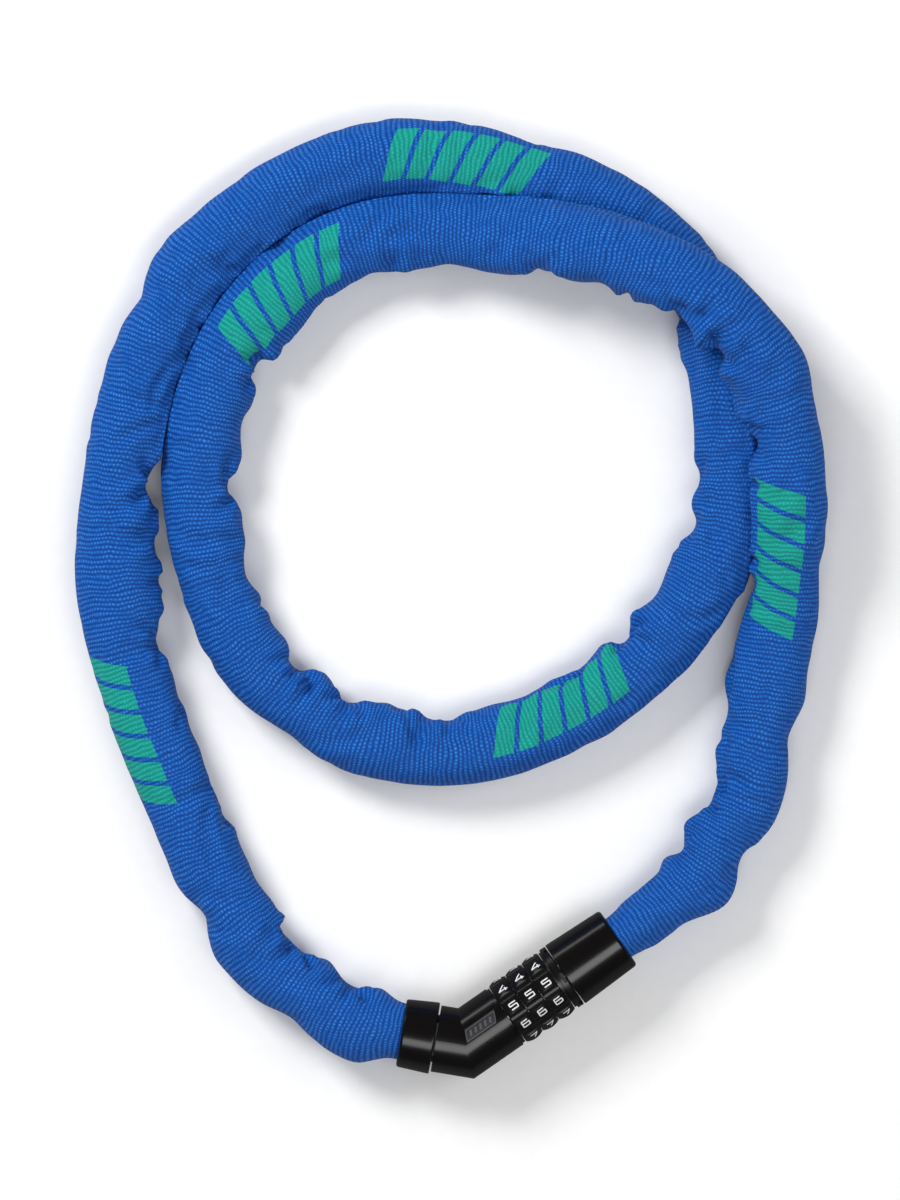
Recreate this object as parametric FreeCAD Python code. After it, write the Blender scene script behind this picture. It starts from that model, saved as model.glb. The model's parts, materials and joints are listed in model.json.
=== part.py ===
import FreeCAD, Part
import math
import os

# Combination chain lock, lying coiled on a flat surface in a double loop.
# Millimetres, +Z up. The origin is the bottom centre of the whole object's box.
# The lock body is a bent barrel with three dials. A square-bar chain in a woven sleeve runs from
# its short left end round the coil and back to the plug, which closes on the dial end.

V = FreeCAD.Vector
UP = V(0, 0, 1)

# ---- where the lock body lies ----
COIL_CENTRE = V(0.34, -0.31, 0)    # centre of the whole object's box, in the frame of the stations
BEND = V(4.3, -125.7, 10.4)        # where the two axes of the lock body meet
SPINDLE_HEADING = 34.8             # direction of the dial axis, degrees from +X
NECK_HEADING = 170.6               # direction of the short left arm's axis
NECK_TURN = NECK_HEADING - SPINDLE_HEADING
MITRE_NORMAL = NECK_TURN / 2 - 90  # normal of the mitre plane, on the dial side

# ---- lock body: distances are along the dial axis from the bend, unless a name says neck ----
SHELL_R = 9.5
SHELL_END = 14.15
SHELL_NECK_END = 8.6
COLLAR_R = 9.1
COLLAR_LENGTH = 0.9
CORE_R = 7.5
CORE_SLOP = 0.1
CORE_END = 12.9
CORE_NECK_END = 4.5
EAR_NECK_END = 15.0
EAR_R = 7.0
EAR_HALF = 5.2
EAR_GAP_HALF = 2.3
PIN_R = 2.0
PIN_SLOP = 0.05
NECK_PIN_AT = 12.0
HOUSING_PIN_R = 1.0
HOUSING_PIN_AT = V(6.0, 2.1, 0)
CAP_START = 9.1
CAP_END = 18.6
CAP_R_IN = 10.25
CAP_R_OUT = 9.65
CAP_BORE_R = 8.4

# ---- name plate: a slanted panel let into the upper shell ----
PLATE_CENTRE = V(6.4, 2.1, 0)
PLATE_LENGTH = 12.0
PLATE_WIDTH = 3.8
PLATE_SLANT = 1.6
PLATE_FLOOR_R = 8.9
PLATE_TOP_R = 9.4
PLATE_GAP = 0.1

# ---- dials and what they carry ----
DIAL_COUNT = 3
DIGIT_COUNT = 10
FIRST_DIAL = 14.45
DIAL_PITCH = 5.6
DIAL_LENGTH = 5.4
DIAL_R = 10.1
DIAL_EDGE_R = 9.4
DIAL_BORE_R = 7.6
SCOOP_R = 2.2
SCOOP_FLOOR_R = 9.5
SCOOP_PHASE = -27.6                # first scoop, degrees about the dial axis from the top
SPLINE_START = 2.2
SPLINE_LENGTH = 1.1
DIAL_TOOTH_R = 7.0
DIAL_TOOTH_DEG = 16.0
TUMBLER_START = 1.4
TUMBLER_LENGTH = 5.2
TUMBLER_R = 6.9
TUMBLER_TOOTH_R = 7.5
TUMBLER_TOOTH_DEG = 18.0
RECESS_R = 5.8
RECESS_LENGTH = 3.6
WEB_BORE_R = 4.1
GATE_WIDTH = 2.4
NOTCH_R = 4.6
NOTCH_WIDTH = 1.4

# ---- barrel, bolt and ring ----
BARREL_R = 4.0
BARREL_BORE_R = 2.7
BARREL_START = 8.2
BARREL_END = 34.9
BARREL_SLOT_START = 16.2
BOLT_R = 2.6
BOLT_TIP = 13.0
LUG_START = 2.0
LUG_LENGTH = 1.6
LUG_WIDTH = 2.0
LUG_R = 5.6
RING_START = 31.3
RING_STEP = 32.0
RING_END = 33.9
RING_HUB_START = 32.6
RING_R = 9.85
RING_NECK_R = 9.2
RING_BORE_R = 7.8
RING_NOTCH_COUNT = 6
RING_NOTCH_WIDTH = 3.0
RING_NOTCH_START = 33.0
CLIP_START = 33.95
CLIP_THICKNESS = 0.5
CLIP_R = 5.4
CLIP_GROOVE_R = 3.6
CLIP_GAP = 2.8
COIL_R = 5.4
COIL_WIRE_R = 0.3
COIL_START = 14.5
COIL_PITCH = 0.75
COIL_TRAVEL = 1.0
LEAF_START = 15.0
LEAF_END = 32.0
LEAF_WIDTH = 1.2
LEAF_TOP = -3.45
LEAF_THICKNESS = 0.3
BUMP_R = 0.5
BUMP_DEPTH = -3.95

# ---- plug ----
COVER_START = 34.2
COVER_END = 52.5
COVER_R_IN = 10.0
COVER_R_OUT = 9.35
COVER_BORE_R = 8.3
COVER_WALL_END = 35.75
COVER_HOLE_R = 6.0
PLUG_CORE_R = 7.4
PLUG_CORE_START = 35.8
PLUG_CORE_STEP = 38.3
PLUG_EAR_END = 48.0
PLUG_PIN_AT = 45.5

# ---- chain and sleeve ----
BAR = 3.8                          # square bar of a link of nominal 4 mm chain
LINK_WIDTH = 13.6
LINK_PLAY = 0.8
LINK_COUNT = 60
LINK_EDGE = 0.8
LAY_ANGLE = 45.0                   # links lie tilted this way and that, like an X
TWIST_LINKS = 5                    # links over which the chain turns from its pin to that lay
SLEEVE_HALF_WIDTH = 9.5
SLEEVE_HALF_HEIGHT = 7.75
SLEEVE_END_HEIGHT = 8.0            # half height where it enters the caps
SLEEVE_WALL = 0.6
SLEEVE_LEFT_HALF = 8.0             # half width where the sleeve enters the left cap
SLEEVE_RIGHT_HALF = 6.6            # half width where it enters the plug
SLEEVE_RIGHT_NECK = 11.0
SLEEVE_RIGHT_FLARE = 0.3
SLEEVE_TAPER = 45.0
SLEEVE_SINK = 0.25                 # the underside is pressed flat by this much
SLEEVE_FROM_NECK = 15.3
SLEEVE_TO_PLUG = 48.3
SLEEVE_GAP = 0.05
REST = SLEEVE_HALF_HEIGHT - SLEEVE_SINK
# The chain's centre line as it lies coiled, from the left arm to the plug: x, y and height.
# It climbs over its own first turn on the way back to the plug.
STATIONS = (
    (-43, -110, 8.6), (-61.5, -89, REST), (-76, -58.5, REST), (-88.5, -27, REST),
    (-95, 5, REST), (-93.5, 38, REST), (-85.5, 70, REST), (-69.5, 97.5, REST),
    (-44.5, 117, REST), (-13, 125.5, REST), (20, 121, REST), (50, 108, REST),
    (71.5, 83.5, REST), (79, 51.5, REST), (77.5, 19, REST), (62.5, -9, REST),
    (38.5, -29.5, REST), (7.5, -41.5, REST), (-25, -39, REST), (-52.5, -21.5, REST),
    (-67.5, 7.5, REST), (-71, 40, REST), (-61.5, 71.5, REST), (-39.5, 95.5, REST),
    (-12, 104, 8.6), (12, 104, 12.0), (35.5, 100.5, 18.9), (58.5, 93.5, 22.6),
    (78.5, 79.5, 23.1), (91.5, 56.5, 19.4), (96, 27.5, 16.1), (93.5, -4.5, 8.8),
    (88, -37, REST), (79.5, -64, REST), (66, -82, 8.4),
)
# Where the sleeve is cut into stretches, counted in links from the left arm. Stretches named
# bend span a hinge of the chain, which sits in the middle of each.
SLEEVE_CUTS = {
    "sleeve_neck_bend": (None, 1.5),
    "sleeve_left_1": (1.5, 4.5),
    "sleeve_left_2": (4.5, 7.5),
    "sleeve_left_bend": (7.5, 8.5),
    "sleeve_coil_01": (8.5, 12.5),
    "sleeve_coil_02": (12.5, 16.5),
    "sleeve_coil_03": (16.5, 20.5),
    "sleeve_coil_04": (20.5, 24.5),
    "sleeve_coil_05": (24.5, 28.5),
    "sleeve_coil_06": (28.5, 32.5),
    "sleeve_coil_07": (32.5, 36.5),
    "sleeve_coil_08": (36.5, 40.5),
    "sleeve_coil_09": (40.5, 44.5),
    "sleeve_coil_10": (44.5, 48.5),
    "sleeve_coil_11": (48.5, 52.5),
    "sleeve_right_bend": (52.5, 53.5),
    "sleeve_right": (53.5, 55.5),
    "sleeve_tail_bend": (55.5, 56.5),
    "sleeve_tail": (56.5, None),
}
# Links of each rigid stretch of chain; a hinge sits where one stretch meets the next.
CHAIN_RUNS = {
    "chain_links_left": (0, 8),
    "chain_links_coil": (8, 53),
    "chain_links_right": (53, 56),
    "chain_links_tail": (56, 60),
}

LOCK = FreeCAD.Placement(BEND - COIL_CENTRE, FreeCAD.Rotation(UP, SPINDLE_HEADING))
NECK = LOCK.multiply(FreeCAD.Placement(V(), FreeCAD.Rotation(UP, NECK_TURN)))
FAR = 60.0


# ---- small shape helpers; a local shape has its axis along +X ----
def rod(radius, start, end):
    return Part.makeCylinder(radius, end - start, V(start, 0, 0), V(1, 0, 0))


def tube(outer, inner, start, end):
    return rod(outer, start, end).cut(rod(inner, start - 1, end + 1))


def block(x0, x1, y0, y1, z0, z1):
    return Part.makeBox(x1 - x0, y1 - y0, z1 - z0, V(x0, y0, z0))


def slab(axis, low, high):
    """A very wide block between two planes across one axis."""
    bounds = {name: (-FAR, FAR) for name in "xyz"}
    bounds[axis] = (low, high)
    return block(*bounds["x"], *bounds["y"], *bounds["z"])


def turned(profile):
    """A solid of revolution about X from points (x, radius); a third value rounds that corner."""
    edges = []
    corners = [V(x, r, 0) for x, r, *_ in profile]
    count = len(corners)
    starts = list(corners)
    ends = list(corners)
    for i, (_, _, *rounding) in enumerate(profile):
        if not rounding:
            continue
        to_last = (corners[i - 1] - corners[i]).normalize()
        to_next = (corners[(i + 1) % count] - corners[i]).normalize()
        half_angle = to_last.getAngle(to_next) / 2
        reach = rounding[0] / math.tan(half_angle)
        starts[i] = corners[i] + to_last * reach
        ends[i] = corners[i] + to_next * reach
        inward = (to_last + to_next).normalize()
        depth = rounding[0] / math.sin(half_angle) - rounding[0]
        edges.append(Part.Arc(starts[i], corners[i] + inward * depth, ends[i]).toShape())
    for i in range(count):
        edges.append(Part.makeLine(ends[i], starts[(i + 1) % count]))
    face = Part.Face(Part.Wire(Part.__sortEdges__(edges)))
    return face.revolve(V(0, 0, 0), V(1, 0, 0), 360)


def spun(shape, degrees):
    """A copy turned about the shape's own X axis."""
    copy = shape.copy()
    copy.rotate(V(0, 0, 0), V(1, 0, 0), degrees)
    return copy


def on_neck(shape):
    """A copy moved from the dial axis onto the left arm's axis."""
    copy = shape.copy()
    copy.rotate(V(0, 0, 0), UP, NECK_TURN)
    return copy


def placed(shape):
    """A copy moved from the lock's own frame to where the lock lies."""
    copy = shape.copy()
    copy.Placement = LOCK.multiply(copy.Placement)
    return copy


def sector_teeth(inner, outer, start, end, width_deg, phase):
    """Ten teeth between two radii, as wedges of a ring."""
    ring = tube(outer, inner, start, end)
    wedge = Part.makeCylinder(outer + 1, end - start, V(start, 0, 0), V(1, 0, 0), width_deg)
    teeth = []
    for i in range(DIGIT_COUNT):
        turn = phase + 360 / DIGIT_COUNT * i - width_deg / 2
        teeth.append(ring.common(spun(wedge, turn)))
    return teeth


# ---- lock body ----
def beyond_mitre(side):
    """The half of space on one side of the mitre plane: +1 is the dial side."""
    half = block(0, FAR, -FAR, FAR, -FAR, FAR)
    half.rotate(V(0, 0, 0), UP, MITRE_NORMAL + (0 if side > 0 else 180))
    return half


def elbow(radius, end, neck_end):
    dial_arm = rod(radius, -radius, end).common(beyond_mitre(+1))
    neck_arm = on_neck(rod(radius, -radius, neck_end)).common(beyond_mitre(-1))
    return dial_arm.fuse(neck_arm).removeSplitter()


def plate_prism(gap):
    half_length = PLATE_LENGTH / 2 - gap
    half_width = PLATE_WIDTH / 2 - gap
    corners = [
        V(-half_length, -half_width, 0), V(half_length - PLATE_SLANT, -half_width, 0),
        V(half_length, half_width, 0), V(-half_length + PLATE_SLANT, half_width, 0),
    ]
    corners = [PLATE_CENTRE + corner for corner in corners]
    outline = Part.makePolygon(corners + corners[:1])
    return Part.Face(outline).extrude(V(0, 0, FAR))


def housing():
    hollow = elbow(CORE_R + CORE_SLOP, CORE_END + CORE_SLOP, SHELL_NECK_END + 1)
    shell = elbow(SHELL_R, SHELL_END, SHELL_NECK_END).cut(hollow)
    shell = shell.cut(rod(BARREL_R + CORE_SLOP, 0, SHELL_END + 1))
    shell = shell.cut(tube(SHELL_R + 1, COLLAR_R, SHELL_END - COLLAR_LENGTH, SHELL_END + 1))
    pocket = plate_prism(0).cut(rod(PLATE_FLOOR_R, -FAR, FAR))
    pin_hole = Part.makeCylinder(HOUSING_PIN_R + PIN_SLOP, FAR, HOUSING_PIN_AT - V(0, 0, FAR / 2))
    shell = shell.cut(pocket).cut(pin_hole.common(slab("z", -CORE_R, FAR)))
    return shell.common(slab("z", 0, FAR)), shell.common(slab("z", -FAR, 0))


def nameplate():
    plate = plate_prism(PLATE_GAP).common(rod(PLATE_TOP_R, -FAR, FAR))
    return plate.cut(rod(PLATE_FLOOR_R + 0.02, -FAR, FAR))


def housing_pin():
    start = HOUSING_PIN_AT - V(0, 0, EAR_HALF)
    return Part.makeCylinder(HOUSING_PIN_R, EAR_HALF + PLATE_FLOOR_R - 0.8, start)


def clevis(radius, start, end, floor, pin_at, across):
    """Two ears with a gap for the end link; across is the axis the pin lies along."""
    ears = rod(radius, start, end).common(slab(across, -EAR_HALF, EAR_HALF))
    gap = slab(across, -EAR_GAP_HALF, EAR_GAP_HALF).common(slab("x", floor, FAR))
    return ears.cut(gap).cut(cross_pin(PIN_R + PIN_SLOP, pin_at, across))


def cross_pin(radius, at, across):
    reach = {"y": V(0, EAR_HALF, 0), "z": V(0, 0, EAR_HALF)}[across]
    return Part.makeCylinder(radius, 2 * EAR_HALF, V(at, 0, 0) - reach, reach)


def lock_core():
    core = elbow(CORE_R, CORE_END, CORE_NECK_END)
    core = core.cut(rod(BARREL_R + PIN_SLOP, BARREL_START, CORE_END + 1))
    ears = clevis(EAR_R, CORE_NECK_END - 0.5, EAR_NECK_END, CORE_NECK_END, NECK_PIN_AT, "z")
    core = core.fuse(on_neck(ears)).removeSplitter()
    pin_hole = Part.makeCylinder(HOUSING_PIN_R + PIN_SLOP, FAR, HOUSING_PIN_AT - V(0, 0, EAR_HALF))
    return core.cut(pin_hole)


def end_cap():
    hub_end = CAP_START + 1.5
    return on_neck(turned([
        (CAP_START, EAR_R + PIN_SLOP), (CAP_START, CAP_R_IN, 0.5), (CAP_END, CAP_R_OUT, 0.8),
        (CAP_END, CAP_BORE_R, 0.3), (hub_end, CAP_BORE_R), (hub_end, EAR_R + PIN_SLOP),
    ]))


# ---- lock mechanism ----
def barrel():
    body = tube(BARREL_R, BARREL_BORE_R, BARREL_START, BARREL_END)
    half_gate = GATE_WIDTH / 2
    body = body.cut(block(BARREL_SLOT_START, FAR, -half_gate, half_gate, 0, BARREL_R + 1))
    half_leaf = LEAF_WIDTH / 2 + 0.1
    floor = LEAF_TOP + 0.15
    body = body.cut(block(LEAF_START - 0.3, LEAF_END + 0.3, -half_leaf, half_leaf, -FAR, floor))
    groove_start = CLIP_START - 0.02
    return body.cut(tube(FAR, CLIP_GROOVE_R, groove_start, CLIP_START + CLIP_THICKNESS + 0.02))


def detent_spring():
    half = LEAF_WIDTH / 2
    leaf = block(LEAF_START, LEAF_END, -half, half, LEAF_TOP - LEAF_THICKNESS, LEAF_TOP)
    for i in range(DIAL_COUNT):
        web_middle = (RECESS_LENGTH + TUMBLER_LENGTH) / 2
        x = FIRST_DIAL + DIAL_PITCH * i + TUMBLER_START + web_middle
        bump = Part.makeCylinder(BUMP_R, LEAF_WIDTH, V(x, -half, BUMP_DEPTH), V(0, 1, 0))
        leaf = leaf.fuse(bump)
    return leaf.common(slab("z", -FAR, LEAF_TOP)).removeSplitter()


def return_spring():
    helix = Part.makeHelix(COIL_PITCH, COIL_TRAVEL, COIL_R)
    section = Part.Wire(Part.makeCircle(COIL_WIRE_R, V(COIL_R, 0, 0), V(0, 1, 0)))
    coil = Part.Wire(helix).makePipeShell([section], True, True)
    coil.rotate(V(0, 0, 0), V(0, 1, 0), 90)
    coil.translate(V(COIL_START, 0, 0))
    return coil


def retaining_clip():
    ring = tube(CLIP_R, CLIP_GROOVE_R + PIN_SLOP, CLIP_START, CLIP_START + CLIP_THICKNESS)
    return ring.cut(block(0, FAR, -CLIP_GAP / 2, CLIP_GAP / 2, 0, FAR))


def dial(index):
    start = FIRST_DIAL + DIAL_PITCH * index
    end = start + DIAL_LENGTH
    crown = Part.Arc(V(start, DIAL_EDGE_R, 0), V((start + end) / 2, DIAL_R, 0), V(end, DIAL_EDGE_R, 0))
    sides = Part.makePolygon([
        V(end, DIAL_EDGE_R, 0), V(end, DIAL_BORE_R, 0), V(start, DIAL_BORE_R, 0), V(start, DIAL_EDGE_R, 0),
    ])
    outline = Part.Wire([crown.toShape()] + sides.Edges)
    ring = Part.Face(outline).revolve(V(0, 0, 0), V(1, 0, 0), 360)
    scoop = Part.makeCylinder(SCOOP_R, FAR, V(0, 0, SCOOP_FLOOR_R + SCOOP_R), V(1, 0, 0))
    for i in range(DIGIT_COUNT):
        ring = ring.cut(spun(scoop, SCOOP_PHASE + 360 / DIGIT_COUNT * i))
    spline = start + SPLINE_START
    teeth = sector_teeth(DIAL_TOOTH_R, DIAL_BORE_R + 0.2, spline, spline + SPLINE_LENGTH, DIAL_TOOTH_DEG, 0)
    return ring.fuse(teeth).removeSplitter()


def tumbler(index):
    dial_start = FIRST_DIAL + DIAL_PITCH * index
    start = dial_start + TUMBLER_START
    end = start + TUMBLER_LENGTH
    web_start = start + RECESS_LENGTH
    body = rod(TUMBLER_R, start, end).cut(rod(RECESS_R, start - 1, web_start))
    body = body.cut(rod(WEB_BORE_R, start, end + 1))
    body = body.cut(block(start, end + 1, -GATE_WIDTH / 2, GATE_WIDTH / 2, 0, RECESS_R))
    notch = block(start, end + 1, -NOTCH_WIDTH / 2, NOTCH_WIDTH / 2, 0, NOTCH_R)
    for i in range(1, DIGIT_COUNT):
        body = body.cut(spun(notch, 360 / DIGIT_COUNT * i))
    spline = dial_start + SPLINE_START
    half_step = 180 / DIGIT_COUNT
    teeth = sector_teeth(
        TUMBLER_R - 0.2, TUMBLER_TOOTH_R, spline, spline + SPLINE_LENGTH, TUMBLER_TOOTH_DEG, half_step)
    return body.fuse(teeth).removeSplitter()


def bolt():
    body = rod(BOLT_R, BOLT_TIP, PLUG_CORE_STEP)
    for i in range(DIAL_COUNT):
        start = FIRST_DIAL + DIAL_PITCH * i + LUG_START
        lug = block(start, start + LUG_LENGTH, -LUG_WIDTH / 2, LUG_WIDTH / 2, 0, LUG_R)
        body = body.fuse(lug)
    return body.removeSplitter()


def reset_ring():
    ring = turned([
        (RING_START, RING_BORE_R), (RING_START, RING_NECK_R), (RING_STEP, RING_NECK_R),
        (RING_STEP, RING_R, 0.2), (RING_END, RING_R, 0.2), (RING_END, WEB_BORE_R),
        (RING_HUB_START, WEB_BORE_R), (RING_HUB_START, RING_BORE_R),
    ])
    ring = ring.cut(block(0, FAR, -GATE_WIDTH / 2, GATE_WIDTH / 2, 0, RECESS_R))
    half = RING_NOTCH_WIDTH / 2
    notch = block(RING_NOTCH_START, FAR, -half, half, RING_NECK_R, FAR)
    for i in range(RING_NOTCH_COUNT):
        ring = ring.cut(spun(notch, 360 / RING_NOTCH_COUNT * i))
    return ring


# ---- plug ----
def plug_cover():
    return turned([
        (COVER_START, COVER_HOLE_R), (COVER_START, COVER_R_IN, 0.3), (COVER_END, COVER_R_OUT, 0.95),
        (COVER_END, COVER_BORE_R), (PLUG_CORE_STEP, COVER_BORE_R),
        (PLUG_CORE_STEP, PLUG_CORE_R + PIN_SLOP), (COVER_WALL_END, PLUG_CORE_R + PIN_SLOP),
        (COVER_WALL_END, COVER_HOLE_R),
    ])


def plug_core():
    core = rod(PLUG_CORE_R, PLUG_CORE_START, PLUG_CORE_STEP)
    ears = clevis(PLUG_CORE_R, PLUG_CORE_STEP - 0.5, PLUG_EAR_END, PLUG_CORE_STEP, PLUG_PIN_AT, "y")
    core = core.fuse(ears).removeSplitter()
    return core.cut(rod(BOLT_R, PLUG_CORE_START - 1, PLUG_CORE_STEP + 1))


# ---- chain and sleeve ----
def centre_line():
    """The chain's centre line, from the left pin's far side to the plug pin's far side."""
    on_neck_axis = [NECK_PIN_AT - PIN_R, SLEEVE_FROM_NECK + 1]
    on_dial_axis = [SLEEVE_TO_PLUG + 1, PLUG_PIN_AT - PIN_R]
    points = [NECK.multVec(V(x, 0, 0)) for x in on_neck_axis]
    points += [V(*station) - COIL_CENTRE for station in STATIONS]
    points += [LOCK.multVec(V(x, 0, 0)) for x in on_dial_axis]
    curve = Part.BSplineCurve()
    curve.interpolate(points)
    return curve.toShape()


LINE = centre_line()
PITCH = LINE.Length / LINK_COUNT
SLEEVE_START = SLEEVE_FROM_NECK - (NECK_PIN_AT - PIN_R)
SLEEVE_END = LINE.Length - (SLEEVE_TO_PLUG - (PLUG_PIN_AT - PIN_R))


def joint_point(number):
    """Where link number - 1 meets link number, measured along the centre line."""
    return LINE.valueAt(LINE.getParameterByLength(PITCH * number))


def link_blank():
    hollow = PITCH + LINK_PLAY
    length = hollow + 2 * BAR
    outer = block(-length / 2, length / 2, -LINK_WIDTH / 2, LINK_WIDTH / 2, -BAR / 2, BAR / 2)
    outer = outer.makeFillet(LINK_WIDTH / 2 - 1.5, [e for e in outer.Edges if is_upright(e)])
    outer = outer.makeFillet(LINK_EDGE, [e for e in outer.Edges if not is_upright(e)])
    inside = LINK_WIDTH / 2 - BAR
    hole = block(-hollow / 2, hollow / 2, -inside, inside, -BAR, BAR)
    hole = hole.makeFillet(LINK_EDGE, [e for e in hole.Edges if is_upright(e)])
    return outer.cut(hole)


def is_upright(edge):
    ends = [vertex.Point for vertex in edge.Vertexes]
    return len(ends) == 2 and abs((ends[1] - ends[0]).normalize().z) > 0.99


def links(first, last, blank):
    """Links first to last - 1, each turned a quarter from the one before."""
    row = []
    for number in range(first, last):
        start = joint_point(number)
        end = joint_point(number + 1)
        along = (end - start).normalize()
        side = UP.cross(along).normalize()
        lay = min(1, number / TWIST_LINKS, (LINK_COUNT - 1 - number) / TWIST_LINKS)
        turn = math.radians(90 * (number % 2) + LAY_ANGLE * lay)
        across = side * math.cos(turn) + along.cross(side) * math.sin(turn)
        normal = along.cross(across)
        middle = (start + end) / 2
        matrix = FreeCAD.Matrix(
            along.x, across.x, normal.x, middle.x, along.y, across.y, normal.y, middle.y,
            along.z, across.z, normal.z, middle.z, 0, 0, 0, 1)
        link = blank.copy()
        link.Placement = FreeCAD.Placement(matrix)
        row.append(link)
    return Part.makeCompound(row)


def ease(value):
    value = max(0.0, min(1.0, value))
    return value * value * (3 - 2 * value)


def sleeve_half_width(at):
    from_left = ease((at - SLEEVE_START) / SLEEVE_TAPER)
    from_right = ease((LINE.Length - SLEEVE_RIGHT_NECK - at) / SLEEVE_TAPER)
    left = SLEEVE_LEFT_HALF + (SLEEVE_HALF_WIDTH - SLEEVE_LEFT_HALF) * from_left
    right = SLEEVE_RIGHT_HALF + (SLEEVE_HALF_WIDTH - SLEEVE_RIGHT_HALF) * from_right ** SLEEVE_RIGHT_FLARE
    return min(left, right)


def sleeve_half_height(at):
    inside = ease(min(at - SLEEVE_START, SLEEVE_END - at) / SLEEVE_TAPER)
    return SLEEVE_END_HEIGHT + (SLEEVE_HALF_HEIGHT - SLEEVE_END_HEIGHT) * inside


def sleeve_section(at, inset):
    parameter = LINE.getParameterByLength(at)
    middle = LINE.valueAt(parameter)
    along = LINE.tangentAt(parameter)
    side = along.cross(UP).normalize()
    top = side.cross(along)
    width = sleeve_half_width(at) - inset
    height = sleeve_half_height(at) - inset
    points = []
    for i in range(12):
        angle = 2 * math.pi * i / 12
        points.append(middle + side * width * math.cos(angle) + top * height * math.sin(angle))
    curve = Part.BSplineCurve()
    curve.interpolate(points, PeriodicFlag=True)
    return Part.Wire(curve.toShape())


def sleeve_stretch(first, last):
    """A tube of cloth between two places along the chain, flat where it rests on the ground."""
    start = SLEEVE_START if first is None else PITCH * first + SLEEVE_GAP
    end = SLEEVE_END if last is None else PITCH * last - SLEEVE_GAP
    steps = max(3, round((end - start) / (PITCH / 2)))
    places = [start + (end - start) * i / steps for i in range(steps + 1)]
    outer = Part.makeLoft([sleeve_section(at, 0) for at in places], True)
    inner = Part.makeLoft([sleeve_section(at, SLEEVE_WALL) for at in places], True)
    return outer.cut(inner).common(slab_above_ground())


def slab_above_ground():
    return block(-4 * FAR, 4 * FAR, -4 * FAR, 4 * FAR, 0, FAR)


def build():
    upper, lower = housing()
    shapes = {
        "housing_upper": placed(upper),
        "housing_lower": placed(lower),
        "housing_pin": placed(housing_pin()),
        "nameplate": placed(nameplate()),
        "lock_core": placed(lock_core()),
        "end_cap": placed(end_cap()),
        "chain_pin_left": placed(on_neck(cross_pin(PIN_R, NECK_PIN_AT, "z"))),
        "barrel": placed(barrel()),
        "detent_spring": placed(detent_spring()),
        "return_spring": placed(return_spring()),
        "retaining_clip": placed(retaining_clip()),
        "reset_ring": placed(reset_ring()),
        "plug_cover": placed(plug_cover()),
        "plug_core": placed(plug_core()),
        "bolt": placed(bolt()),
        "chain_pin_right": placed(cross_pin(PIN_R, PLUG_PIN_AT, "y")),
    }
    for i in range(DIAL_COUNT):
        shapes[f"dial_{i + 1}"] = placed(dial(i))
        shapes[f"tumbler_{i + 1}"] = placed(tumbler(i))
    blank = link_blank()
    for name, (first, last) in CHAIN_RUNS.items():
        shapes[name] = links(first, last, blank)
    for name, (first, last) in SLEEVE_CUTS.items():
        shapes[name] = sleeve_stretch(first, last)
    return shapes


if __name__ == "__main__":
    os.makedirs("parts", exist_ok=True)
    for node, shape in build().items():
        shape.exportStep(f"parts/{node}.step")
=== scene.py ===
import json
import math
import random

import bmesh
import bpy
import numpy as np
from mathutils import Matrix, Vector, noise
from mathutils.bvhtree import BVHTree
from mathutils.kdtree import KDTree


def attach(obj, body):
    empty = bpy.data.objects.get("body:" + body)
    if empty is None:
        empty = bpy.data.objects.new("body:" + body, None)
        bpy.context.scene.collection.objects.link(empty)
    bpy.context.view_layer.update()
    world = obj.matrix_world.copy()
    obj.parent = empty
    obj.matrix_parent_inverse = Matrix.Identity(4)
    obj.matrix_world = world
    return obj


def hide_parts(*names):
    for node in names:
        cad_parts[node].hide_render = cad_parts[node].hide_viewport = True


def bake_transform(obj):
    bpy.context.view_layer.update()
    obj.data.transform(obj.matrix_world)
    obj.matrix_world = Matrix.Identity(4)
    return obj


# Looks for the coiled combination chain lock: the woven sleeve with its puckers and prints, the
# digits on the dials, the name plate's bars, and every material. Metres, +Z up.

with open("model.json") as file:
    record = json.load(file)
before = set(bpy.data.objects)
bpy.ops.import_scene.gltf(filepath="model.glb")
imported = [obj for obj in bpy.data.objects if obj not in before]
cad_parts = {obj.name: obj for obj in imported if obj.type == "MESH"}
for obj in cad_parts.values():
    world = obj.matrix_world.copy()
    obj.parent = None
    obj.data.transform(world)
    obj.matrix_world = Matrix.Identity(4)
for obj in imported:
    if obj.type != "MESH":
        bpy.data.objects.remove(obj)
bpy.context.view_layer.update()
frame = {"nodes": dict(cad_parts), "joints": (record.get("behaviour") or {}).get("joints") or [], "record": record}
NODES = frame["nodes"]
JOINTS = {joint["name"]: joint for joint in frame["joints"]}
MM = 0.001
UP = np.array([0.0, 0.0, 1.0])
CHAIN_NODES = ("chain_links_left", "chain_links_coil", "chain_links_right", "chain_links_tail")

# ---- the lock's own axes, from the joints ----
SPINDLE = np.array(JOINTS["dial_1_turn"]["axis"])          # dial axis, from the bend to the plug
SPINDLE_LEFT = np.cross(UP, SPINDLE)
DIAL_1 = np.array(JOINTS["dial_1_turn"]["pos_m"])
FIRST_DIAL = 17.15 * MM                                    # its middle, from the bend
BEND = DIAL_1 - SPINDLE * FIRST_DIAL                       # where the two axes of the body meet
DIAL_PITCH = 5.6 * MM
DIAL_COUNT = 3

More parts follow.
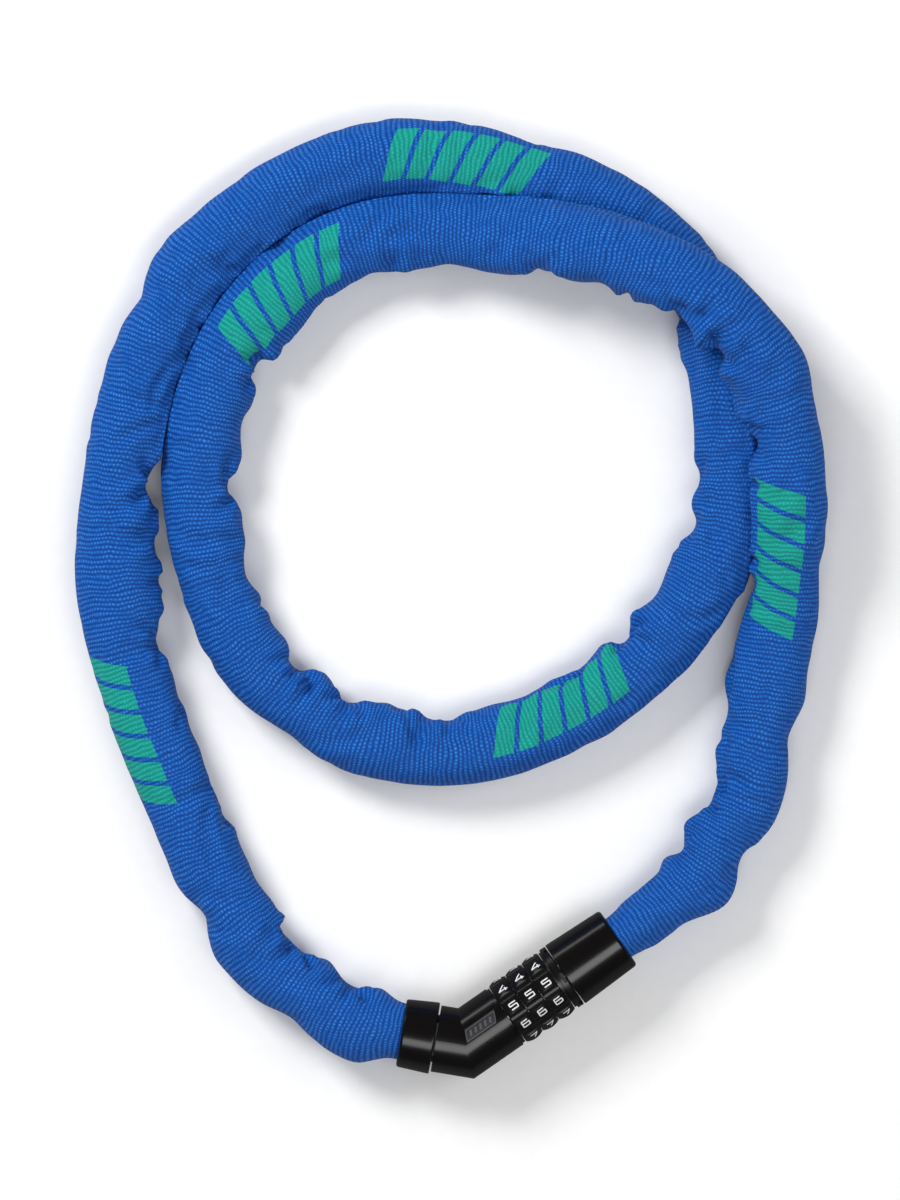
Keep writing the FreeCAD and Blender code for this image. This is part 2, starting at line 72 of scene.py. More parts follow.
# ---- sleeve, in millimetres; a place along it is counted in links from the left arm ----
SLEEVE_START = 5.4            # from the left pin's far side
SLEEVE_END_INSET = 4.9        # before the plug pin's far side
RING_STEP = 2.4
AROUND = 32
HALF_WIDTH_OUT = 10.3
HALF_WIDTH_IN = 10.4
HALF_HEIGHT = 7.7
SQUARENESS = 2.25             # exponent of the section's outline; 2 is an ellipse
LEFT_MOUTH = 7.7              # half width inside the left cap
RIGHT_MOUTH = 6.7             # half width inside the plug
GROUND = 0.06
GIRTH_RADIUS = 9.05           # the cloth's girth as a radius
CREASE_COUNT = 260
CHAIN_ROOM = 0.75             # between the cloth's outer face and the links
CONTACT_GAP = 0.1             # between two turns that lie together
SWELL = 2.8                   # a gap up to this is filled by the slack cloth
OTHER_TURN = 100.0            # mm along the sleeve after which it is another turn
NEAR_TURN = 30.0              # mm from the sleeve's middle within which another turn can touch
CLOTH_THICKNESS = 0.6
IN, OUT = 1, -1               # sides of the sleeve: towards the coil's middle, and away from it
# Where the cloth is drawn in (depth above 0) or bulges (below 0): place, side, depth, half length.
PUCKERS = (
    (1.5, IN, 4.6, 0.30), (2.65, IN, 4.4, 0.34), (5.35, IN, 1.5, 0.4), (8.0, IN, 3.2, 0.26),
    (9.0, IN, -2.2, 0.7), (10.55, IN, 3.8, 0.30), (12.3, IN, 0.6, 0.3), (14.6, IN, 0.3, 0.3),
    (17.0, IN, 0.3, 0.3), (19.9, IN, 1.6, 0.3), (22.95, IN, 3.4, 0.28), (25.75, IN, 2.4, 0.24),
    (26.55, IN, 2.6, 0.22), (27.25, IN, -0.9, 0.4), (28.78, IN, 4.8, 0.18), (29.85, IN, 1.8, 0.3),
    (32.2, IN, 2.8, 0.34), (33.85, IN, 4.4, 0.26), (35.05, IN, 5.0, 0.20), (36.85, IN, 1.4, 0.3),
    (37.6, IN, -0.8, 0.4), (38.32, IN, 3.8, 0.24), (40.38, IN, 5.2, 0.24), (41.3, IN, -2.2, 0.5),
    (43.05, IN, 1.8, 0.3), (44.4, IN, 1.2, 0.25), (45.2, IN, -1.2, 0.4), (45.95, IN, 2.4, 0.25),
    (46.9, IN, 1.2, 0.22), (48.4, IN, 2.2, 0.28), (49.3, IN, 4.6, 0.20), (51.0, IN, 3.4, 0.26),
    (53.4, IN, 1.9, 0.4), (54.75, IN, -1.7, 0.5), (56.72, IN, 5.2, 0.34), (57.8, IN, 3.0, 0.24),
    (58.6, IN, 1.6, 0.3),
    (1.05, OUT, -1.3, 0.4), (1.95, OUT, 1.6, 0.35), (3.1, OUT, -0.8, 0.4), (3.88, OUT, 3.6, 0.28),
    (9.1, OUT, -1.3, 0.9), (13.2, OUT, 1.4, 0.3), (14.0, OUT, -1.2, 0.5), (17.4, OUT, -0.9, 0.7),
    (19.6, OUT, 1.1, 0.4), (34.5, OUT, 1.9, 0.5), (40.6, OUT, -0.9, 0.8), (43.1, OUT, -1.2, 0.6),
    (50.0, OUT, -1.9, 0.5), (53.0, OUT, 1.2, 0.4), (55.6, OUT, 2.4, 0.34), (57.4, OUT, 3.2, 0.32),
    (58.05, OUT, -1.3, 0.35), (58.7, OUT, 1.6, 0.35),
)
# Folds that lie along the top: place, distance from the middle towards the inside, depth, length.
TOP_FOLDS = (
    (23.9, 2.5, 1.6, 1.6), (24.9, 3.5, 1.4, 1.2), (26.2, 2.0, 0.9, 1.6), (30.9, -2.0, 0.7, 2.4),
    (49.6, 3.0, 1.8, 0.9), (50.6, 4.0, 1.5, 1.1), (41.9, -3.5, 0.9, 2.2), (37.4, 3.0, 0.9, 1.8),
    (15.4, 4.0, 0.8, 3.2), (6.4, -1.5, 0.7, 2.2), (55.4, 1.0, 1.0, 1.4), (58.3, 0.5, 0.9, 0.9),
)
# Deep creases: place, distance round from the top line towards the inside, lean from straight
# across in degrees, length, width, depth.
DEEP_CREASES = (
    (3.0, 3.0, 30, 14, 2.0, 1.7), (4.7, 1.6, 82, 40, 1.5, 1.3), (9.7, 6.0, 15, 13, 2.3, 2.0),
    (13.0, 9.0, 85, 12, 2.0, 1.8), (14.3, 6.5, 25, 13, 2.2, 2.4), (16.1, 10.0, 80, 10, 1.8, 1.6),
    (19.1, 9.0, 85, 9, 1.8, 1.8), (32.6, 5.0, 0, 14, 2.5, 2.0), (34.6, 4.5, 10, 16, 1.8, 1.8),
    (37.4, 5.0, -20, 15, 2.2, 2.0), (38.6, 8.0, 88, 16, 1.6, 1.4), (43.5, 6.0, -10, 15, 2.3, 2.4),
    (48.4, 7.0, -50, 10, 2.0, 2.2), (49.2, 6.0, 60, 11, 2.5, 3.0), (51.0, 6.5, 20, 11, 2.1, 2.4),
    (28.8, 5.0, 12, 14, 2.0, 1.8), (40.6, 7.0, -25, 13, 2.0, 2.0), (56.4, 5.0, -15, 13, 2.2, 2.2),
)
# Prints: place, distance of the middle from the sleeve's top line towards the inside.
PRINTS = ((6.76, -7.2), (18.55, -0.8), (30.2, 3.4), (41.55, 0.6), (52.8, 3.4))
PRINT_LENGTH = 43.0
PRINT_WIDTH = 13.0
PRINT_BARS = 6
PRINT_GAP = 1.5               # between two bars
PRINT_SLANT = 0.45


# ---- small helpers ----
def unit(vector):
    return vector / np.linalg.norm(vector)


def ease(value):
    value = np.clip(value, 0.0, 1.0)
    return value * value * (3 - 2 * value)


def new_object(name, vertices, faces):
    mesh = bpy.data.meshes.new(name)
    mesh.from_pydata([tuple(v) for v in vertices], [], faces)
    mesh.validate()
    obj = bpy.data.objects.new(name, mesh)
    bpy.context.scene.collection.objects.link(obj)
    return obj


def apply_modifiers(obj):
    """Bakes an object's modifiers into its mesh."""
    bpy.context.view_layer.update()
    graph = bpy.context.evaluated_depsgraph_get()
    mesh = bpy.data.meshes.new_from_object(obj.evaluated_get(graph))
    obj.modifiers.clear()
    obj.data = mesh
    return obj


# ---- materials ----
class Nodes:
    """A short way to write a material's node tree."""

    def __init__(self, name):
        self.material = bpy.data.materials.new(name)
        self.material.use_nodes = True
        self.tree = self.material.node_tree
        self.shader = self.tree.nodes["Principled BSDF"]

    def add(self, kind, **values):
        node = self.tree.nodes.new(kind)
        for key, value in values.items():
            setattr(node, key, value)
        return node

    def put(self, socket, value):
        if isinstance(value, bpy.types.NodeSocket):
            self.tree.links.new(value, socket)
        else:
            socket.default_value = value

    def math(self, operation, *values, clamp=False):
        node = self.add("ShaderNodeMath", operation=operation, use_clamp=clamp)
        for socket, value in zip(node.inputs, values):
            self.put(socket, value)
        return node.outputs[0]

    def wave(self, turn):
        """A cosine that runs from 0 to 1."""
        return self.math("MULTIPLY_ADD", self.math("COSINE", turn), 0.5, 0.5)

    def mix(self, share, first, second):
        node = self.add("ShaderNodeMix", data_type="RGBA")
        self.put(node.inputs[0], share)
        self.put(node.inputs[6], first)
        self.put(node.inputs[7], second)
        return node.outputs[2]

    def noise(self, scale, detail=2.0, vector=None):
        node = self.add("ShaderNodeTexNoise")
        node.inputs["Scale"].default_value = scale
        node.inputs["Detail"].default_value = detail
        if vector is not None:
            self.put(node.inputs["Vector"], vector)
        return node.outputs["Fac"]

    def ramp(self, value, low, high):
        node = self.add("ShaderNodeMapRange", clamp=True)
        self.put(node.inputs["Value"], value)
        node.inputs["From Min"].default_value = low
        node.inputs["From Max"].default_value = high
        return node.outputs["Result"]

    def bump(self, height, distance, strength=1.0):
        node = self.add("ShaderNodeBump")
        node.inputs["Distance"].default_value = distance
        node.inputs["Strength"].default_value = strength
        self.put(node.inputs["Height"], height)
        self.put(self.shader.inputs["Normal"], node.outputs["Normal"])

    def set(self, **values):
        for key, value in values.items():
            self.put(self.shader.inputs[key.replace("_", " ")], value)
        return self.material


def grey(value):
    return (value, value, value, 1)


def position(nodes):
    return nodes.add("ShaderNodeTexCoord").outputs["Object"]


def darker(colour, share):
    return (*(channel * share for channel in colour[:3]), 1)


def moulded_plastic(name, colour, roughness, coat=0.0):
    """Black moulded plastic: a faint orange-peel surface, and roughness that varies a little."""
    nodes = Nodes(name)
    where = position(nodes)
    fine = nodes.noise(2600.0, 3.0, where)
    broad = nodes.noise(90.0, 2.0, where)
    rough = nodes.math("MULTIPLY_ADD", broad, 0.10, roughness - 0.05)
    tone = nodes.mix(broad, darker(colour, 0.8), colour)
    nodes.bump(fine, 0.01 * MM, 0.5)
    return nodes.set(Base_Color=tone, Roughness=rough, Coat_Weight=coat, Coat_Roughness=0.04)


def machined_metal(name, colour, roughness, scratch=1400.0):
    """Plated or cast metal with fine tool marks and dull patches."""
    nodes = Nodes(name)
    where = position(nodes)
    marks = nodes.noise(scratch, 4.0, where)
    patches = nodes.noise(160.0, 2.0, where)
    rough = nodes.math("MULTIPLY_ADD", patches, 0.2, roughness - 0.1)
    tone = nodes.mix(nodes.ramp(patches, 0.35, 0.7), colour, darker(colour, 0.7))
    nodes.bump(marks, 0.02 * MM, 0.4)
    return nodes.set(Base_Color=tone, Roughness=rough, Metallic=1.0)


def painted(name, colour):
    """Paint filled into a digit: matt, with uneven cover and a fine grain."""
    nodes = Nodes(name)
    where = position(nodes)
    cover = nodes.ramp(nodes.noise(1500.0, 3.0, where), 0.25, 0.75)
    nodes.bump(nodes.noise(3000.0, 2.0, where), 0.01 * MM, 0.4)
    tone = nodes.mix(cover, darker(colour, 0.72), colour)
    return nodes.set(Base_Color=tone, Roughness=0.55)


ROW_PITCH = 1.30              # mm between the rows of the weave, which run across the sleeve
STITCH_PITCH = 0.86           # mm between the stitches along a row, which carry a painted highlight
THREAD_HEIGHT = 0.22 * MM
# The cloth's and the ink's own tone, each with a darker tone that is painted shade in the weave's grooves and a
# lighter tone that is a painted highlight on its stitches.
BLUE_SHADE = (0.0016, 0.036, 0.200, 1)
BLUE = (0.0042, 0.078, 0.370, 1)
BLUE_HIGHLIGHT = (0.045, 0.250, 0.720, 1)
TEAL_SHADE = (0.004, 0.180, 0.190, 1)
TEAL = (0.006, 0.300, 0.235, 1)
TEAL_HIGHLIGHT = (0.030, 0.450, 0.390, 1)


def weave(name):
    """Coarse ribbed weave with a painted highlight on the stitches and painted shade in the grooves between the
    rows, and flat slanted bars printed on it.
    """
    nodes = Nodes(name)
    uv = nodes.add("ShaderNodeUVMap", uv_map="cloth").outputs[0]
    split = nodes.add("ShaderNodeSeparateXYZ")
    nodes.put(split.inputs[0], uv)
    where = position(nodes)
    drift = nodes.noise(110.0, 2.0, where)
    sway = nodes.noise(60.0, 2.0, where)
    jitter = nodes.noise(420.0, 1.0, where)
    along = nodes.math("MULTIPLY_ADD", drift, 2.8, split.outputs["X"])
    along = nodes.math("MULTIPLY_ADD", jitter, 0.45, along)
    around = nodes.math("MULTIPLY_ADD", sway, 1.6, split.outputs["Y"])
    around = nodes.math("MULTIPLY_ADD", jitter, -0.5, around)
    row = nodes.math("DIVIDE", along, ROW_PITCH)
    rib = nodes.wave(nodes.math("MULTIPLY", row, 2 * math.pi))
    odd = nodes.math("MULTIPLY", nodes.math("MODULO", nodes.math("FLOOR", row), 2.0), math.pi)
    stitch = nodes.wave(nodes.math("MULTIPLY_ADD", around, 2 * math.pi / STITCH_PITCH, odd))
    furrow = nodes.math("SUBTRACT", 1.0, rib)
    dot = nodes.math("MULTIPLY", nodes.math("POWER", stitch, 1.6), nodes.math("POWER", furrow, 2.0))
    fleck = nodes.ramp(nodes.noise(900.0, 1.0, where), 0.36, 0.66)
    patch = nodes.ramp(nodes.noise(230.0, 3.0, where), 0.36, 0.66)
    # How strong the painted highlight on the stitches is, varying in patches and flecks.
    shine = nodes.math("MULTIPLY_ADD", patch, 0.55, 0.15)
    shine = nodes.math("MULTIPLY_ADD", fleck, 0.55, shine)
    dot = nodes.math("MULTIPLY", dot, shine, clamp=True)
    # Painted shade in the grooves between the rows, uneven in flecks.
    groove = nodes.math("POWER", rib, 2.2)
    uneven = nodes.math("MULTIPLY_ADD", fleck, -0.45, 1.0)
    shade = nodes.math("MULTIPLY", groove, uneven, clamp=True)
    # Painted shade darkens the grooves and a painted highlight lightens the stitches, on the cloth and on the ink.
    cloth = nodes.mix(dot, nodes.mix(shade, BLUE, BLUE_SHADE), BLUE_HIGHLIGHT)
    ink = nodes.mix(dot, nodes.mix(shade, TEAL, TEAL_SHADE), TEAL_HIGHLIGHT)
    colour = nodes.mix(print_bars(nodes, split), cloth, ink)
    thread = nodes.math("MULTIPLY_ADD", dot, 0.8, nodes.math("MULTIPLY", furrow, 0.6))
    nodes.bump(thread, THREAD_HEIGHT, 0.8)
    nodes.shader.inputs["Sheen Tint"].default_value = (0.35, 0.6, 1.0, 1)
    return nodes.set(Base_Color=colour, Roughness=0.72, Sheen_Weight=0.08, Sheen_Roughness=0.5,
                     Specular_IOR_Level=0.25)


def print_bars(nodes, split):
    """1 where ink lies: a slanted block of bars with thin gaps, round each print's middle."""
    total = 0.0
    bar_pitch = PRINT_LENGTH / PRINT_BARS
    for place, aside in PRINTS:
        du = nodes.math("SUBTRACT", split.outputs["X"], place * LINE.pitch)
        dv = nodes.math("SUBTRACT", split.outputs["Y"], aside)
        lean = nodes.math("MULTIPLY_ADD", dv, PRINT_SLANT, du)
        inside_u = nodes.math("LESS_THAN", nodes.math("ABSOLUTE", lean), PRINT_LENGTH / 2)
        inside_v = nodes.math("LESS_THAN", nodes.math("ABSOLUTE", dv), PRINT_WIDTH / 2)
        shifted = nodes.math("ADD", lean, PRINT_LENGTH / 2)
        phase = nodes.math("MODULO", shifted, bar_pitch)
        bar = nodes.math("GREATER_THAN", phase, PRINT_GAP)
        here = nodes.math("MULTIPLY", nodes.math("MULTIPLY", inside_u, inside_v), bar)
        total = nodes.math("ADD", total, here, clamp=True)
    return total


# ---- the chain's centre line ----
def link_middles(names):
    """Middle of every link in these CAD nodes, in order along the chain, in millimetres."""
    middles = []
    for name in names:
        mesh = NODES[name].data
        points = np.empty(len(mesh.vertices) * 3)
        mesh.vertices.foreach_get("co", points)
        points = points.reshape(-1, 3) / MM
        triangles = np.empty(len(mesh.polygons) * 3, int)
        mesh.polygons.foreach_get("vertices", triangles)
        triangles = triangles.reshape(-1, 3)
        middles += [solid_middle(points, part) for part in solids(points, triangles)]
    return middles


def solids(points, triangles):
    """The triangles of each closed solid in a mesh."""
    keys, whole = np.unique(np.round(points, 3), axis=0, return_inverse=True)
    corners = whole.reshape(-1)[triangles]
    label = np.arange(len(keys))
    while True:
        lowest = label[corners].min(axis=1)
        before = label.copy()
        for column in range(3):
            np.minimum.at(label, corners[:, column], lowest)
        label = label[label]
        if (label == before).all():
            break
    owner = label[corners[:, 0]]
    return [triangles[owner == group] for group in np.unique(owner)]


def solid_middle(points, triangles):
    a, b, c = (points[triangles[:, i]] for i in range(3))
    start = a[0]
    volumes = np.einsum("ij,ij->i", a - start, np.cross(b - start, c - start))
    return ((a + b + c + start) * volumes[:, None]).sum(axis=0) / (4 * volumes.sum())


class CentreLine:
    """A smooth curve through the places where the links meet."""

    def __init__(self):
        middles = link_middles(CHAIN_NODES)
        hinge = np.array(JOINTS["chain_left_bend"]["pos_m"]) / MM
        middles = self.in_order(middles, hinge)
        turn = np.array(JOINTS["chain_coil_bend"]["pos_m"]) / MM
        known = int(np.argmin([np.linalg.norm(turn - m) for m in middles]))
        if np.linalg.norm(middles[known - 1] - turn) < np.linalg.norm(middles[known + 1] - turn):
            known -= 1
        meets = {known + 1: turn}
        for i in range(known + 1, len(middles)):
            meets[i + 1] = 2 * middles[i] - meets[i]
        for i in range(known, -1, -1):
            meets[i] = 2 * middles[i] - meets[i + 1]
        self.knots = np.array([meets[i] for i in range(len(middles) + 1)])
        steps = np.linalg.norm(np.diff(self.knots, axis=0), axis=1)
        self.places = np.concatenate([[0], np.cumsum(steps)])
        self.length = self.places[-1]
        self.pitch = self.length / len(middles)
        self.slopes = self.spline_slopes()

    @staticmethod
    def in_order(middles, start):
        """Each link is the one nearest to where the last step, made again, would lead."""
        left = list(middles)
        ordered = []
        here = start
        expected = start
        while left:
            nearest = min(range(len(left)), key=lambda i: np.linalg.norm(left[i] - expected))
            last, here = here, left.pop(nearest)
            expected = here + (here - last if ordered else 0)
            ordered.append(here)
        return ordered

    def spline_slopes(self):
        """Slopes of the natural cubic spline through the knots."""
        count = len(self.knots)
        gaps = np.diff(self.places)
        rises = np.diff(self.knots, axis=0) / gaps[:, None]
        matrix = np.zeros((count, count))
        right = np.zeros((count, 3))
        matrix[0, :2] = 2, 1
        matrix[-1, -2:] = 1, 2
        right[0] = 3 * rises[0]
        right[-1] = 3 * rises[-1]
        for i in range(1, count - 1):
            matrix[i, i - 1:i + 2] = gaps[i], 2 * (gaps[i - 1] + gaps[i]), gaps[i - 1]
            right[i] = 3 * (gaps[i] * rises[i - 1] + gaps[i - 1] * rises[i])
        return np.linalg.solve(matrix, right)

    def at(self, place):
        """Point and direction at a distance along the line; both may be arrays."""
        i = np.clip(np.searchsorted(self.places, place, side="right") - 1, 0, len(self.places) - 2)
        gap = self.places[i + 1] - self.places[i]
        t = ((place - self.places[i]) / gap)[..., None]
        gap = gap[..., None]
        p, q = self.knots[i], self.knots[i + 1]
        m, n = self.slopes[i] * gap, self.slopes[i + 1] * gap
        point = (2 * t**3 - 3 * t**2 + 1) * p + (t**3 - 2 * t**2 + t) * m
        point += (-2 * t**3 + 3 * t**2) * q + (t**3 - t**2) * n
        slope = (6 * t**2 - 6 * t) * (p - q) + (3 * t**2 - 4 * t + 1) * m + (3 * t**2 - 2 * t) * n
        return point, slope / np.linalg.norm(slope, axis=-1, keepdims=True)


LINE = CentreLine()


# ---- sleeve ----
def edge_half_width(links, side):
    """Half width of the sleeve on one side, before its puckers."""
    full = HALF_WIDTH_IN if side == IN else HALF_WIDTH_OUT
    last = LINE.length / LINE.pitch
    from_left = LEFT_MOUTH + (full - LEFT_MOUTH) * ease((links - 0.45) / 0.55)
    from_right = RIGHT_MOUTH + (full - RIGHT_MOUTH) * ease((last - 0.6 - links) / 1.7)
    return np.minimum(from_left, from_right)


def pucker_depth(links, angle):
    """How far the cloth is drawn in at a place and an angle round the section."""
    depth = np.zeros(np.broadcast(links, angle).shape)
    for place, side, pull, half_length in PUCKERS:
        from_side = np.abs(np.angle(np.exp(1j * (angle - (0 if side == IN else math.pi)))))
        slip = 0.10 * math.sin(place * 7.3)
        along = (links - place - slip * from_side) / half_length
        bell = np.exp(-0.5 * (along * 1.35) ** 2)
        if pull > 0:
            reach = 0.78 + 0.25 * math.sin(place * 3.1)
            sides = np.exp(-(from_side / reach) ** 2)
            lips = 0.16 * np.exp(-0.5 * ((np.abs(along) - 2.0) / 0.7) ** 2)
            depth += pull * sides * (bell - lips)
        else:
            depth += pull * bell * np.exp(-(from_side / 1.0) ** 2)
    return depth


def top_fold_depth(links, across):
    depth = np.zeros(np.broadcast(links, across).shape)
    for place, aside, deep, length in TOP_FOLDS:
        wander = aside + 1.2 * np.sin((links - place) * 2.1 + place)
        ends = ease(1.3 - np.abs(links - place) / (length / 2))
        depth += deep * ends * np.exp(-((across - wander) / 1.5) ** 2)
    return depth


def ripple(links, angle):
    """Small uneven waves: stronger on the inside of the coil, where the cloth is slack."""
    out = np.zeros(np.broadcast(links, angle).shape)
    links, angle = np.broadcast_arrays(links, angle)
    for index in np.ndindex(out.shape):
        place, turn = float(links[index]), float(angle[index])
        round_x, round_y = math.cos(turn), math.sin(turn)
        slack = 0.45 + 0.55 * (0.5 + 0.5 * round_x)
        broad = noise.noise(Vector((place * 1.15, round_x * 1.1, round_y * 1.1)))
        fine = noise.noise(Vector((place * 3.4 + 40, round_x * 1.5, round_y * 1.5)))
        out[index] = slack * (0.95 * broad + 0.55 * fine)
    return out


def chain_reach(angle):
    """How far the crossed links reach at an angle round the section, with room for the cloth."""
    return 4.7 + 2.9 * np.abs(np.sin(2 * angle)) ** 1.5


def rings_at(along):
    """Middle of the sleeve's rings at these distances, with their side and top directions."""
    middle, forward = LINE.at(along)
    side = np.cross(forward, UP)
    side /= np.linalg.norm(side, axis=1, keepdims=True)
    return middle, side, np.cross(side, forward)


def softly_above(value, low):
    """The value where it is well above the low one, easing to the low one instead of passing it."""
    return np.where(value < low + 1.5, low + np.log1p(np.exp((value - low) * 3)) / 3, value)


def sleeve_grid():
    """Rings of points of the sleeve's outer face, and their distances along the line."""
    start = SLEEVE_START
    end = LINE.length - SLEEVE_END_INSET
    along = np.linspace(start, end, round((end - start) / RING_STEP) + 1)
    angle = 2 * math.pi * np.arange(AROUND)[None, :] / AROUND
    middle, side, top = rings_at(along)
    links = (along / LINE.pitch)[:, None]
    cosine, sine = np.cos(angle), np.sin(angle)
    power = 2 / SQUARENESS
    wide = np.where(cosine > 0, edge_half_width(links, IN), edge_half_width(links, OUT))
    x = wide * np.sign(cosine) * np.abs(cosine) ** power
    y = HALF_HEIGHT * np.sign(sine) * np.abs(sine) ** power * np.ones_like(wide)
    away = np.hypot(x, y)
    settle = ease((links - 0.5) / 0.5) * ease((LINE.length / LINE.pitch - 0.6 - links) / 0.5)
    drawn = pucker_depth(links, angle) + 0.9 * ripple(links, angle)
    drawn = drawn + ease((sine + 0.1) / 0.6) * top_fold_depth(links, x)
    reach = softly_above(away - drawn * settle, chain_reach(angle))
    x, y = x * reach / away, y * reach / away
    points = middle[:, None] + side[:, None] * x[..., None] + top[:, None] * y[..., None]
    points[..., 2] = softly_above(points[..., 2], GROUND)
    return points, along


def grid_faces(rings, around):
    """Faces of an open tube of rings."""
    faces = []
    for i in range(rings - 1):
        here, after = i * around, (i + 1) * around
        for j in range(around):
            k = (j + 1) % around
            faces.append((here + j, after + j, after + k, here + k))
    return faces


# The cloth is simulated at 10 mm to the unit, because the solver's distances suit that size.
CLOTH_UNIT = 0.1
CLOTH_SLACK = 1.10            # length of the cloth for each length of chain
CLOTH_GIRTH = 60.0
CLOTH_FRAMES = 26
CLOTH_MOST = 3.0              # mm that a point may move
CLOTH_DRIFT = 30.0            # mm along the sleeve over which movement counts as drift
CLOTH_GAP = 0.03              # units the solver keeps between the cloth and the core
CLOTH_SETTINGS = {
    "quality": 6, "tension_stiffness": 25, "compression_stiffness": 25, "shear_stiffness": 4,
    "bending_stiffness": 0.6, "air_damping": 2, "use_pressure": True, "uniform_pressure_force": 0.7,
}
CORE_RINGS = 300
CORE_AROUND = 24


def chain_core():
    """A closed tube about where the links reach, for the cloth to lie against."""
    along = np.linspace(SLEEVE_START - 2, LINE.length - SLEEVE_END_INSET + 2, CORE_RINGS)
    turn = 2 * math.pi * np.arange(CORE_AROUND) / CORE_AROUND
    middle, side, top = rings_at(along)
    cosine, sine = np.cos(turn)[None, :, None], np.sin(turn)[None, :, None]
    reach = (chain_reach(turn) - 0.9)[None, :, None]
    points = middle[:, None] + (side[:, None] * cosine + top[:, None] * sine) * reach
    points = (points * CLOTH_UNIT).reshape(-1, 3)
    return new_object("chain_core", points, grid_faces(CORE_RINGS, CORE_AROUND))


def wrinkles_only(moved):
    """What the simulation moved, less its slow drift along the sleeve, and held to a limit."""
    reach = round(CLOTH_DRIFT / RING_STEP)
    window = np.hanning(2 * reach + 3)[1:-1]
    window /= window.sum()
    padded = np.concatenate([moved[:1]] * reach + [moved] + [moved[-1:]] * reach)
    drift = sum(weight * padded[i:i + len(moved)] for i, weight in enumerate(window))
    moved = moved - drift
    distance = np.linalg.norm(moved, axis=2, keepdims=True)
    return moved * CLOTH_MOST * np.tanh(distance / CLOTH_MOST) / np.maximum(distance, 1e-9)


def simulate_cloth(points):
    """Lets the woven tube, cut longer than the chain, buckle round the chain where it bends."""
    rings = len(points)
    start = points.reshape(-1, 3) * CLOTH_UNIT
    cloth = new_object("cloth", start, grid_faces(rings, AROUND))
    radius = CLOTH_GIRTH / (2 * math.pi) * CLOTH_UNIT
    step = RING_STEP * CLOTH_SLACK * CLOTH_UNIT
    cloth.shape_key_add(name="Basis")
    straight = cloth.shape_key_add(name="straight")
    for i in range(rings):
        for j in range(AROUND):
            turn = 2 * math.pi * j / AROUND
            place = (step * i, radius * math.cos(turn), radius * math.sin(turn))
            straight.data[i * AROUND + j].co = place
    held = cloth.vertex_groups.new(name="held")
    ends = list(range(2 * AROUND)) + list(range((rings - 3) * AROUND, rings * AROUND))
    held.add(ends, 1.0, "REPLACE")
    modifier = cloth.modifiers.new("cloth", "CLOTH")
    settings = modifier.settings
    settings.rest_shape_key = straight
    settings.vertex_group_mass = "held"
    for key, value in CLOTH_SETTINGS.items():
        setattr(settings, key, value)
    settings.effector_weights.gravity = 0
    modifier.collision_settings.distance_min = CLOTH_GAP
    modifier.collision_settings.collision_quality = 2
    core = chain_core()
    core.modifiers.new("collision", "COLLISION")
    core.collision.thickness_outer = CLOTH_GAP
    scene = bpy.context.scene
    scene.frame_start, scene.frame_end = 1, CLOTH_FRAMES
    modifier.point_cache.frame_start, modifier.point_cache.frame_end = 1, CLOTH_FRAMES
    for number in range(1, CLOTH_FRAMES + 1):
        scene.frame_set(number)
    graph = bpy.context.evaluated_depsgraph_get()
    settled = np.array([v.co for v in cloth.evaluated_get(graph).data.vertices])
    bpy.data.objects.remove(cloth)
    bpy.data.objects.remove(core)
    scene.frame_set(1)
    return points + wrinkles_only(((settled - start) / CLOTH_UNIT).reshape(points.shape))


def finer(points, along):
    """Twice the rings and twice the points round each, on smooth curves through the old ones."""
    after, beyond = np.roll(points, -1, axis=1), np.roll(points, -2, axis=1)
    between = (9 * (points + after) - np.roll(points, 1, axis=1) - beyond) / 16
    points = np.stack([points, between], axis=2).reshape(len(points), -1, 3)
    ends = 2 * points[:1] - points[1:2], 2 * points[-1:] - points[-2:-1]
    padded = np.concatenate([ends[0], points, ends[1]])
    out = np.empty((2 * len(points) - 1, *points.shape[1:]))
    out[::2] = points
    out[1::2] = (9 * (points[:-1] + points[1:]) - padded[:-3] - padded[3:]) / 16
    return out, np.interp(np.arange(len(out)) / 2, np.arange(len(along)), along)


def around_cloth(count):
    """Distance of each point of a ring from the top line, towards the inside, in millimetres."""
    return (math.pi / 2 - 2 * math.pi * np.arange(count) / count) * GIRTH_RADIUS


def pucker_creases(chance):
    """Creases that fan out over the top from each deep pucker."""
    creases = []
    for place, side, pull, _ in PUCKERS:
        if pull < 2:
            continue
        for lean in (-40, -8, 30):
            lean = math.radians(lean + chance.uniform(-12, 12))
            length = chance.uniform(8, 15)
            run, rise = math.sin(lean), -side * math.cos(lean)
            start = side * (math.pi / 2 * GIRTH_RADIUS - 1.5)
            middle = (place * LINE.pitch + run * (length / 2 + 1.5), start + rise * length / 2)
            deep = (0.55 if side == IN else 0.3) * pull * chance.uniform(0.7, 1.2)
            creases.append((*middle, run, rise, length, chance.uniform(1.2, 2.0), deep))
    return creases


def deep_creases():
    creases = []
    for place, around, lean, length, width, deep in DEEP_CREASES:
        lean = math.radians(lean)
        run, rise = math.sin(lean), math.cos(lean)
        creases.append((place * LINE.pitch, around, run, rise, length, width, deep))
    return creases


def loose_creases(chance):
    """Slight creases anywhere: most run across the sleeve or slantwise, a few along it."""
    creases = []
    for _ in range(CREASE_COUNT):
        place = chance.uniform(1.2 * LINE.pitch, LINE.length - 1.6 * LINE.pitch)
        around = chance.uniform(-1.0, 1.25) * math.pi / 2 * GIRTH_RADIUS
        slackness = 0.6 + 0.4 * around / (math.pi / 2 * GIRTH_RADIUS)
        leans = chance.gauss(0, 26), chance.gauss(0, 26), chance.gauss(80, 20)
        lean = math.radians(chance.choice(leans))
        length = chance.uniform(8, 22)
        deep = slackness * chance.uniform(0.3, 1.9)
        side = chance.choice((-1, 1))
        creases.append((place, around, math.sin(lean), side * math.cos(lean), length,
                        chance.uniform(1.1, 2.2), deep))
    return creases


